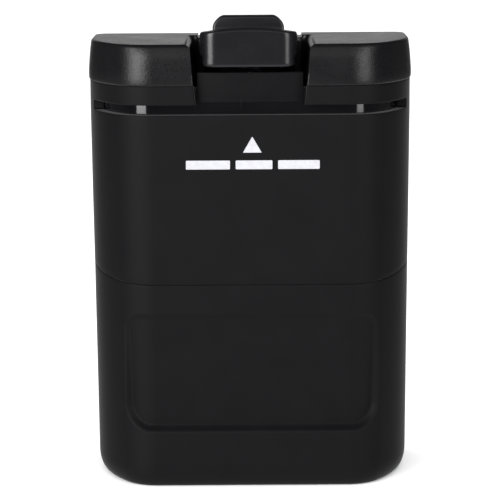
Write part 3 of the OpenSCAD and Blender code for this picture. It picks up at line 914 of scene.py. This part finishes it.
    def slot_cutter(self) -> bpy.types.Object:
        """A C-shaped cutter for the slot.

        A section with a flared mouth is carried round the outline, and then kept only where it meets a box that
        reaches back to the slot's ends and has round edges.
        """
        low, high = self.slot
        s, c = fillet(5)
        flare = self.rim
        profile = Levels()
        profile.add(low - flare, -1.5)
        profile.add(low - flare * (1 - s), flare * c)
        profile.add([low, high], self.wall + 0.8)
        profile.add(high + flare * (1 - s[::-1]), flare * c[::-1])
        profile.add(high + flare, -1.5)
        made = hollow_loft("slot_cutter", profile.rings(self.plan)[::-1])
        front = -self.plan.half_d
        reach = (self.plan.half_w + 4, front + self.slot_run, high + flare + 0.01)
        keep = rounded_box("keep", (-reach[0], front - 5, low - flare - 0.01), reach, 1.2)
        return combine(made, keep, Combine.MEET)

    def upper_half(self) -> bpy.types.Object:
        """The upper half as one closed tube of wall.

        Its profile goes round the lower edge, up the drafted skin, over the top edge, down the inner wall past
        the neck's ledge, and out over the groove that takes the lower half's tongue.
        """
        s, c = fillet(5)
        seam = self.parting + 0.05
        rim_low, rim_high = seam + self.rim, self.top - self.rim
        rise_z = spaced((rim_low, 0), (70, 1.5), (90, 2.5), (self.slot[0], 1.5), (rim_high, 0.6))
        lean = 1 - smooth((rise_z - seam) / 20)
        skin_in = self.skin(rise_z, False)
        first = skin_in[0]
        profile = Levels()
        profile.add(seam + self.rim * c, first + self.rim * (1 - s), self.rim * (1 - s), 1)
        profile.add(rise_z[1:], skin_in[1:], 0, lean[1:])
        profile.add(self.top - self.rim * (1 - s[1:]), self.rim * c[1:])
        wall, ledge = self.wall, self.slot[0] - 2.8
        profile.add([self.top, self.top - 0.3], [wall - 0.2, wall])
        profile.add([ledge, ledge, ledge - 1.6, ledge - 1.6], [wall, wall + 1.6, wall + 1.6, wall])
        profile.add([80, 70], wall, lift=1 - smooth((np.array([80, 70]) - seam) / 20))
        profile.add(self.parting + 2.6, [wall, wall - 1.2], lift=1)
        profile.add(seam, wall - 1.2, lift=1)
        made = hollow_loft("case_upper_shell", profile.rings(self.plan, self.slope))
        back = self.plan.half_d
        for side in (-1, 1):
            start = (side * self.screw_x, self.screw_y, self.seam(self.screw_y) + 0.15)
            combine(made, bar("boss", start, 2, 9, self.boss_r, 0.1), Combine.JOIN)
            combine(made, self.rail("rail", side, self.seam(back) + 0.1, self.slot[0]), Combine.JOIN)
        combine(made, self.slot_cutter(), Combine.CUT)
        front, low = -self.plan.half_d, self.slot[0] + 1
        notch = notch_cutter(low, self.top + 0.7, self.top + 20, front + 6, front, self.notch_half)
        combine(made, notch, Combine.CUT)
        label_low, label_high = extent("rear_label")
        low = (label_low[0] - 0.2, label_low[1] - 0.02, label_low[2] - 0.2)
        high = (label_high[0] + 0.2, back + 1, label_high[2] + 0.2)
        return combine(made, rounded_box("pocket", low, high, 0.02), Combine.CUT)

    def build(self, material: bpy.types.Material) -> None:
        """Makes and dresses both halves."""
        finish_piece(self.lower_half(), material, "case_plastic", "pack", "lower_case")
        finish_piece(self.upper_half(), material, "case_plastic", "pack", "upper_case")


def notch_cutter(
    low: float, high: float, top: float, back: float, front: float, half: float, flare: float = 1.4
) -> bpy.types.Object:
    """A cutter for the latch's notch: a drafted block whose section opens at the front and at the top.

    The half width grows by a draft of 0.0929 with height, and by r - sqrt(r^2 - h^2) over the last r below the
    top surface. At the front a quarter circle of 0.35 mm opens it to the skin. Its rear corners are round.

    Args:
        low: Its lowest height.
        high: Its highest height.
        top: Height of the top surface that it opens through.
        back: Where its rear is.
        front: Where the front skin is.
        half: Half width at its lowest height.
        flare: Radius of the opening at the top.

    Returns:
        The closed mesh object.
    """
    z = spaced((low, 0), (min(high, top - flare), 1.5))
    if high > top - flare:
        z = np.concatenate([z, top - flare + flare * fillet(7)[0][1:], [high]])
    over = np.clip(z - top + flare, 0, flare)
    draft, mouth, corner = 0.0929, 0.35, 1.5
    w = (half + draft * (np.minimum(z, top) - low) + flare - np.sqrt(flare**2 - over**2))[:, None]
    s, c = fillet(5)
    x = np.hstack([0 * w, w + mouth, w + mouth * (1 - s), w, w - corner * c, 0 * w])
    out, rear = [front - 3, front - 3], back - corner * (1 - s)
    y = np.hstack([out, front + mouth * c, [back - 6], rear, [back]]) + 0 * w
    return closed_loft("notch_cutter", mirrored(np.stack([x, y, z[:, None] + 0 * x], -1)))


@dataclass
class Cap:
    """The top cap with the latch's pocket.

    Attributes:
        thick: Thickness of its top and walls.
        pocket_run: Depth of the pocket from the front.
        channel: Depth of the shallow channel behind the pocket.
        channel_half: Half of the channel's width.
        notch_half: Half width of the latch's notch just below the cap.
        proud: How far its widest part stands out past the case.
        edge: Height of its rounded top edge.
        edge_run: Distance inwards of that edge.
        brow: How far its front leans back over the top 4 mm.
    """

    thick: float = 2.0
    pocket_run: float = 33.0
    channel: float = 0.7
    channel_half: float = 13.5
    notch_half: float = 13.9
    proud: float = 0.3
    edge: float = 1.0
    edge_run: float = 0.8
    brow: float = 0.9

    def profile(self, z: np.ndarray) -> np.ndarray:
        """Inset of its side: proud at its widest, and 0.04 u + 0.006 u^2 further in at u mm above that."""
        above = z - self.low - 1.6
        return -self.proud + np.where(above > 0, 0.04 * above + 0.006 * above**2, 0.02 * above**2)

    def build(self, plan: Plan, material: bpy.types.Material) -> None:
        """Makes the cap: an outer loft, hollowed from below, less the notch and the channel.

        Args:
            plan: The pack's outline.
            material: Its finish.
        """
        self.low, top = extent("upper_case")[1][2] + 0.05, extent("top_cap")[1][2]
        rim = 0.3
        s, c = fillet(5)
        side_z = spaced((self.low + rim, 0), (top - self.edge, 0.5))
        side_in = self.profile(side_z)
        up, out = fillet(8)
        rows = Levels()
        rows.add(self.low, side_in[0] + rim, rim, scale=INWARDS[::-1])
        rows.add(self.low + rim * c, side_in[0] + rim * (1 - s), rim * (1 - s))
        rows.add(side_z[1:], side_in[1:], np.maximum(side_in[1:], 0))
        last = side_in[-1]
        rows.add(top - self.edge * (1 - up[1:]), last + self.edge_run * out[1:])
        rows.add(top, last + self.edge_run, scale=INWARDS)
        rings = rows.rings(plan)
        lean = self.brow * (np.clip(rings[..., 2] - top + 4, 0, 4) / 4) ** 2
        rings[..., 1] += lean * np.clip(-plan.normals()[:, 1], 0, 1) ** 4
        made = closed_loft("cap_shell", rings)
        cavity = slab("cavity", plan, self.low - 1, top - self.thick, self.thick)
        front, pocket = -plan.half_d, self.pocket_run - plan.half_d
        keep = rounded_box("keep", (-17, front - 1, self.low - 3), (17, pocket + self.thick, top + 1), 0.02)
        combine(cavity, keep, Combine.CUT)
        combine(made, cavity, Combine.CUT)
        notch = notch_cutter(self.low - 1, top + 1, top, pocket, front - 0.25, self.notch_half)
        combine(made, notch, Combine.CUT)
        half = self.channel_half
        low, high = (-half, pocket - 3, top - self.channel), (half, plan.half_d + 3, top + 2)
        combine(made, rounded_box("channel", low, high, 0.35), Combine.CUT)
        finish_piece(made, material, "cap_plastic", "pack", "top_cap")


@dataclass
class Neck:
    """The glossy ring in the slot, the wall behind the notch and the latch's cradle.

    Attributes:
        inset: Inset of the ring from the case's outline.
        thick: Its thickness.
        wall_foot: Height at which the notch's wall begins, level with the top of the slot.
        wall_top: Height of the notch's wall.
        wall_half: Half width of that wall.
        ear: Inner and outer x of an ear.
    """

    inset: float = 2.6
    thick: float = 1.6
    wall_foot: float = 97.5
    wall_top: float = 105.0
    wall_half: float = 13.2
    ear: tuple[float, float] = (11.4, 13.1)

    def build(self, plan: Plan, gloss: bpy.types.Material, satin: bpy.types.Material) -> None:
        """Makes the ring as a closed tube, and the deck and all that stands on it as one cradle.

        The cradle has a wall with a plinth, a nib and a gate mark, a stop, a spring seat and two ears.

        Args:
            plan: The pack's outline.
            gloss: Finish of the ring.
            satin: Finish of the cradle.
        """
        low, high = extent("neck_frame")
        ring_top = extent("upper_case")[1][2] - 0.4
        spring_low, spring_high = extent("latch_spring")
        pivot_y, pivot_z, pin_r = pivot()
        deck = spring_low[2] - 0.05
        s, c = fillet(4)
        edge = 0.3
        rows = Levels()
        outer, inner = self.inset, self.inset + self.thick
        rows.add(low[2] + edge * c, outer + edge * (1 - s))
        rows.add([94, 96, 98], outer)
        rows.add(ring_top - edge * (1 - s), outer + edge * c)
        rows.add([ring_top, low[2]], inner)
        ring = hollow_loft("neck_ring", rows.rings(plan))
        finish_piece(ring, gloss, "gloss_plastic", "pack", "neck_frame")
        front = -plan.half_d
        made = slab("latch_cradle", plan, deck - 1.6, deck, inner + 0.02)
        face, deep = front + self.inset, front + self.inset + 1
        half, foot, crest = self.wall_half, self.wall_foot, self.wall_top
        root = deck - 0.5
        parts = [
            rounded_box("wall", (-half, face - 0.1, foot), (half, face + self.thick, crest), 0.25),
            rounded_box("plinth", (-half, face - 0.16, foot), (half, deep, foot + 1.3), 0.12),
            rounded_box("nib", (-0.4, face - 0.35, crest - 0.6), (0.4, deep, crest + 0.15), 0.2),
            rounded_box("gate", (-2.35, face - 0.3, foot - 1.4), (-1.95, deep, foot + 0.9), 0.18),
            rounded_box("stop", (-8, pivot_y - 2.9, root), (8, pivot_y - 1.05, pivot_z - 3.5), 0.3),
            bar("seat", (0, (spring_low[1] + spring_high[1]) / 2, root), 2, 3.5, 2.0, 0.3),
        ]
        for side in (-1, 1):
            left, right = sorted(side * x for x in self.ear)
            ear_low, ear_high = (left, front + 20, root), (right, pivot_y + 2.6, high[2])
            parts.append(rounded_box("ear", ear_low, ear_high, 0.3))
        for part in parts:
            combine(made, part, Combine.JOIN)
        combine(made, bar("bore", (-20, pivot_y, pivot_z), 0, 40, pin_r + 0.02, 0.01), Combine.CUT)
        finish_piece(made, satin, "gloss_plastic", "pack", "neck_frame")


# ---- latch --------------------------------------------------------------


@dataclass
class Latch:
    """The press-down latch: thumb block, arm, hook slab and barrel as one moulding.

    Attributes:
        corner: Radius of the thumb block's front corners in plan.
        arch_r: Radius of its crowned top.
        edge: Radius round its top edge.
        deep: Depth of the block.
        plate: Depth of its lower lip.
        block_h: Height of the block and lip together.
        hook_t: Thickness of the hook slab.
        hook_back: Distance of the hook from the block's front.
        hook_half: Half of the hook's width.
        arm_half: Half of the width of the arm and the barrel.
        play: How far the lever has slid along its pin, within the gap between its arm and the ears.
    """

    corner: float = 4.0
    arch_r: float = 72.0
    edge: float = 0.7
    deep: float = 5.0
    plate: float = 2.0
    block_h: float = 9.5
    hook_t: float = 2.8
    hook_back: float = 8.2
    hook_half: float = 8.9
    arm_half: float = 11.0
    play: float = -0.35

    def thumb(self, front: float, half: float, top: float, arm_low: float) -> bpy.types.Object:
        """The thumb block: level sections of a rectangle with round front corners.

        Each section's front is the same, and its depth shrinks to the lip's below the arm, so the lip's ends
        are where the round corner meets its back. Near the top and bottom it is drawn in round a fillet, and
        the upper rings sink with x by R - sqrt(R^2 - x^2), which crowns the top.

        Args:
            front: Its front.
            half: Its half width.
            top: Its highest point.
            arm_low: Height of the arm's underside.

        Returns:
            The closed mesh object.
        """
        low, edge, cove = top - self.block_h, self.edge, 0.5
        root = arm_low - cove
        s, c = fillet(6)
        z = np.concatenate(
            [
                [low] * 2,
                low + edge * c,
                spaced((low + 1, 0), (root, 0.6)),
                root + cove * s,
                spaced((arm_low + 0.6, 0), (top - 1.6, 0.5)),
                top - edge * (1 - s),
                [top] * 2,
            ]
        )
        ends = 2 + len(s)
        straight = 0 * z[ends:-ends]
        draw = np.concatenate([[3.0, edge + 0.1], edge * (1 - s), straight, edge * c, [edge + 0.1, 1.6]])
        deep = np.where(z < root, self.plate, np.where(z > arm_low, self.deep, 0))
        bend = (z >= root) & (z <= arm_low)
        deep[bend] = self.plate + (self.deep - self.plate) * smooth((z[bend] - arm_low + cove) / cove)
        draw = np.minimum(draw, deep / 2 - 0.15)[:, None]
        r = self.corner - draw * 0.8
        w, y0, y1 = half - draw, front + draw, front + deep[:, None] - draw
        b = 0.35
        reach = np.arccos(np.clip(1 - (y1 - b - y0) / r, 0, 1))
        turn, back = reach * np.linspace(0, 1, 18), np.linspace(0, math.pi / 2, 5)
        flat = np.linspace(0, 1, 17)[:-1]
        side = w - r + r * np.sin(reach)
        x = np.hstack([(w - r) * flat, w - r + r * np.sin(turn), side - b + b * np.cos(back)])
        x = np.hstack([x, (side - b) * flat[:0:-1], 0 * w])
        corner_y = y0 + r * (1 - np.cos(turn))
        y = np.hstack([y0 + 0 * flat, corner_y, y1 - b + b * np.sin(back), y1 + 0 * flat])
        ring = mirrored(np.stack([x, y, z[:, None] + 0 * x], -1))
        crown = self.arch_r - np.sqrt(self.arch_r**2 - ring[..., 0] ** 2)
        ring[..., 2] -= crown * smooth((z - arm_low - 0.6) / (top - arm_low - 1.2))[:, None]
        return closed_loft("latch_lever_moulding", ring)

    def hook(self, y: float, half: float, low: float, top: float) -> bpy.types.Object:
        """The hook slab: level sections of a rounded rectangle, narrower and thinner round its top corners.

        The half width falls by 2.3 t^1.9 over the last 3.1 mm and r - sqrt(r^2 - h^2) over the last 0.5 mm, and
        the thickness by the same root over the last 0.7 mm. The front leans back and runs out to a hollow foot.

        Args:
            y: Where its front is at the top.
            half: Its half width.
            low: Its lowest height.
            top: Its highest height.

        Returns:
            The closed mesh object.
        """
        fall, pull, side_r, face_r = 3.1, 2.3, 0.5, 0.7
        # The last ring stops just short of the full quarter turn, which leaves it some width and thickness.
        most = 0.985
        shoulder = top - fall
        straight, round_end = spaced((low, 0), (shoulder, 0.6)), shoulder + fall * fillet(18)[0]
        z = np.concatenate([straight, round_end[1:]])
        side = pull * (np.clip(z - shoulder, 0, fall) / fall) ** 1.9
        side += side_r - np.sqrt(side_r**2 - np.clip(z - (top - side_r), 0, side_r) ** 2 * most)
        thin = face_r - np.sqrt(face_r**2 - np.clip(z - (top - face_r), 0, face_r) ** 2 * most)
        w, t = (half - side)[:, None], (self.hook_t / 2 - thin)[:, None]
        turn = np.linspace(0, math.pi / 2, 6)
        r = np.minimum(0.6, t * 0.9)
        lean = (0.12 * (z - top) - 0.9 * np.clip((top - 2.7 - z) / 3, 0, 1) ** 2)[:, None]
        front = lean - t
        x = np.hstack([0 * w, w - r + r * np.sin(turn), w - r + r * np.cos(turn), 0 * w])
        depth = np.hstack([front, front + r * (1 - np.cos(turn)), t - r * (1 - np.sin(turn)), t])
        right = np.stack([x, depth + y + self.hook_t / 2, z[:, None] + 0 * x], -1)
        return closed_loft("hook", mirrored(right))

    def build(self, material: bpy.types.Material) -> None:
        """Joins the block, hook, arm, barrel, stop and spring seat, bores the barrel and dresses the piece."""
        low, high = extent("latch_lever")
        pivot_y, pivot_z, pin_r = pivot()
        spring_low, spring_high = extent("latch_spring")
        cap_top = extent("top_cap")[1][2]
        front, half, barrel_r = low[1], high[0], high[1] - pivot_y
        arm_top = cap_top + 0.4
        arm_low, thumb_top = arm_top - 2.8, cap_top + 3.9
        made = self.thumb(front, half, thumb_top, arm_low)
        spring_y, arm = (spring_low[1] + spring_high[1]) / 2, self.arm_half
        parts = [
            rounded_box("arm", (-arm, front + 3.5, arm_low), (arm, pivot_y, arm_top), 0.35),
            bar("barrel", (-arm, pivot_y, pivot_z), 0, 2 * arm, barrel_r, 0.3),
            self.hook(front + self.hook_back, self.hook_half, arm_top - 1, high[2]),
            bar("seat", (0, spring_y, arm_low - 2), 2, 3, 2.0, 0.3),
            rounded_box("stop", (-8, pivot_y - 1, low[2]), (8, pivot_y + 1, pivot_z), 0.3),
        ]
        for part in parts:
            combine(made, part, Combine.JOIN)
        combine(made, bar("bore", (-20, pivot_y, pivot_z), 0, 40, pin_r + 0.05, 0.01), Combine.CUT)
        made.data.transform(Matrix.Translation((self.play * MM, 0, 0)))
        finish_piece(made, material, "latch_plastic", "latch", "latch_lever")


# ---- printed mark -------------------------------------------------------


@dataclass
class PrintedMark:
    """The white print on the front: a triangle that points up at the latch, over three plain bars.

    Attributes:
        thick: Thickness of the ink.
        apex: Height of the triangle's point.
        foot: Height of its base.
        half: Half of its width.
        bars: Left and right ends of the three bars.
        bar_z: Lowest and highest height of the bars.
        middle: Sideways place of the triangle.
    """

    thick: float = 0.04
    apex: float = 89.2
    foot: float = 85.35
    half: float = 2.3
    bars: tuple[tuple[float, float], ...] = ((-16.0, -5.1), (-3.7, 5.4), (6.8, 17.1))
    bar_z: tuple[float, float] = (81.2, 83.4)
    middle: float = 0.45

    def plate(self, name: str, outline: np.ndarray, case: Case) -> bpy.types.Object:
        """A thin plate on the drafted front: each point of its outline stands on the skin at its own height.

        Args:
            name: The object's name.
            outline: Corners as (x, z), anticlockwise seen from the front.
            case: The case that carries it.

        Returns:
            The closed mesh object.
        """
        skin = case.skin(outline[:, 1], False) - case.plan.half_d
        count = len(outline)
        back = np.stack([outline[:, 0], skin + 0.01, outline[:, 1]], -1)
        front = back - (0, self.thick + 0.01, 0)
        ring = list(range(count))
        faces = [ring, [count + k for k in reversed(ring)]]
        faces += [[count + k, count + (k + 1) % count, (k + 1) % count, k] for k in ring]
        return piece(name, np.concatenate([front, back]), faces)

    def build(self, case: Case, material: bpy.types.Material) -> None:
        """Makes the triangle and the bars, and dresses them."""
        x, z, half, tip = self.middle, self.foot, self.half, 0.08
        triangle = np.array([[x - half, z], [x + half, z], [x + tip, self.apex], [x - tip, self.apex]])
        made = [self.plate("print_triangle", triangle, case)]
        for number, (left, right) in enumerate(self.bars, 1):
            r = 0.25
            turn = np.linspace(0, 2 * math.pi, 24, endpoint=False) + 0.01
            middle, inner = (left + right) / 2, (right - left) / 2 - r
            centre_z, inner_z = sum(self.bar_z) / 2, (self.bar_z[1] - self.bar_z[0]) / 2 - r
            xs = middle + np.sign(np.cos(turn)) * inner + r * np.cos(turn)
            zs = centre_z + np.sign(np.sin(turn)) * inner_z + r * np.sin(turn)
            made.append(self.plate(f"print_bar_{number}", np.stack([xs, zs], -1), case))
        for part in made:
            finish_piece(part, material, "label_film", "pack")


# ---- stage --------------------------------------------------------------


@dataclass
class Stage:
    """Floor, light and camera.

    Attributes:
        distance: Distance of the eye in front of the pack's front.
        eye: Height of the eye.
        pitch: Downward tilt of the view, in radians.
        lens: Focal length on a 36 mm sensor.
        aside: Sideways place of the eye.
        roll: Sideways tilt of the view, in radians.
        floor_half: Half of the floor's width.
        surround: Brightness of the white surround, for the camera and for matt surfaces.
        backdrop: Brightness of the backdrop in mirrored light.
        room: Brightness of the dark room in mirrored light.
        paper: Brightness of the table's paper in mirrored light.
        left: Power of the left softbox, in watts.
        right: Power of the right softbox.
        front: Power of the panel above the camera.
    """

    distance: float = 590.0
    eye: float = 158.0
    pitch: float = 0.163
    lens: float = 173.1
    aside: float = -0.28
    roll: float = 0.0063
    floor_half: float = 4000.0
    surround: float = 1.5
    backdrop: float = 0.9
    room: float = 0.05
    paper: float = 1.1
    left: float = 6.0
    right: float = 2.5
    front: float = 0.7

    def floor(self) -> None:
        """A wide pale floor. Mirrored rays miss it and read its brightness from the world."""
        corners = self.floor_half * np.array([[-1, -1, 0], [1, -1, 0], [1, 1, 0], [-1, 1, 0]])
        made = piece("floor", corners, [[0, 1, 2, 3]])
        paper = Finish(
            "card_matt_white", "#f4f4f4", "#f0f0f0", 0.9, 0.03, grain_mm=0.8, relief_mm=0.01, drift_mm=80
        )
        made.data.materials.append(paper.build())
        made.visible_glossy = False

    def softbox(
        self, name: str, place: tuple, target: tuple, size: tuple[float, float], power: float
    ) -> None:
        """An area light that faces a target point.

        Args:
            name: The light's name.
            place: Where it is.
            target: What it faces.
            size: Its width and height.
            power: Its power in watts.
        """
        light = bpy.data.lights.new(name, "AREA")
        light.shape, light.size, light.size_y = "RECTANGLE", size[0] * MM, size[1] * MM
        light.energy = power
        made = bpy.data.objects.new(name, light)
        aim = np.array(target) - np.array(place)
        aim = aim / np.linalg.norm(aim)
        made.location = np.array(place) * MM
        made.rotation_euler = (math.acos(-aim[2]), 0, math.atan2(aim[0], -aim[1]) + math.pi)
        bpy.context.scene.collection.objects.link(made)

    def world(self) -> None:
        """A white backdrop behind the pack in a dark room, as mirrors see it, and even white light otherwise.

        A mirrored ray's brightness rises from dark to white over the last stretch towards straight back, and
        from dark to pale below the horizon, where the paper on the table is.
        """
        world = bpy.data.worlds.new("studio")
        world.use_nodes = True
        world.cycles.sampling_method = "NONE"
        tree = world.node_tree
        tree.nodes.clear()
        way = add(tree, "SeparateXYZ", {0: add(tree, "TexCoord").outputs["Generated"]}).outputs
        back = ramp(tree, way["Y"], (0.93, 0.99), (0.0, self.backdrop))
        below = ramp(tree, way["Z"], (-0.62, -0.1), (self.paper, self.room))
        room = add(tree, "Math", {0: back, 1: below}, operation="MAXIMUM").outputs[0]
        glossy = add(tree, "LightPath").outputs["Is Glossy Ray"]
        level = add(tree, "Mix", {0: glossy, 2: self.surround, 3: room}).outputs[0]
        light = add(tree, "Background", {"Color": (1, 1, 1, 1), "Strength": level})
        add(tree, "OutputWorld", {"Surface": light.outputs[0]})
        bpy.context.scene.world = world

    def camera(self, plan: Plan) -> None:
        """The camera, in front of the pack's middle and above it, tilted down."""
        data = bpy.data.cameras.new("camera")
        data.lens, data.sensor_width, data.clip_start, data.clip_end = self.lens, 36, 0.01, 100
        made = bpy.data.objects.new("camera", data)
        made.location = np.array((self.aside, -plan.half_d - self.distance, self.eye)) * MM
        look, roll = Matrix.Rotation(math.pi / 2 - self.pitch, 4, "X"), Matrix.Rotation(-self.roll, 4, "Z")
        made.rotation_euler = (look @ roll).to_euler()
        bpy.context.scene.collection.objects.link(made)
        bpy.context.scene.camera = made

    def build(self, plan: Plan) -> None:
        """Sets the floor, the world, two tall softboxes, a dim panel over the camera, and the camera."""
        self.floor()
        self.world()
        self.softbox("softbox_left", (-480, -560, 260), (0, 0, 70), (420, 520), self.left)
        self.softbox("softbox_right", (510, -530, 260), (0, 0, 70), (280, 520), self.right)
        self.softbox("panel_over_camera", (0, -680, 560), (0, 0, 90), (900, 420), self.front)
        self.camera(plan)
        bpy.context.scene.view_settings.view_transform = "Standard"


# ---- whole --------------------------------------------------------------


def main() -> None:
    """Loads the frame, dresses its nodes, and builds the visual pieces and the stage."""
    logging.basicConfig(level=logging.INFO, format="%(name)s: %(message)s")
    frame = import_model()
    finishes = {slot: look.build() for slot, look in FINISHES.items()}
    for part in frame["record"]["subparts"]:
        node = frame["nodes"][part["node"]]
        node.data.materials.clear()
        node.data.materials.append(finishes[part["material_slot"]])
        log.info("%s: dressed as %s", part["node"], part["material_slot"])
    case = Case()
    case.build(finishes["case_plastic"])
    Cap().build(case.plan, finishes["cap_plastic"])
    Neck().build(case.plan, finishes["gloss_plastic"], NECK_SATIN.build())
    Latch().build(finishes["latch_plastic"])
    PrintedMark().build(case, PRINT_INK.build())
    Stage().build(case.plan)


if __name__ == "__main__":
    main()
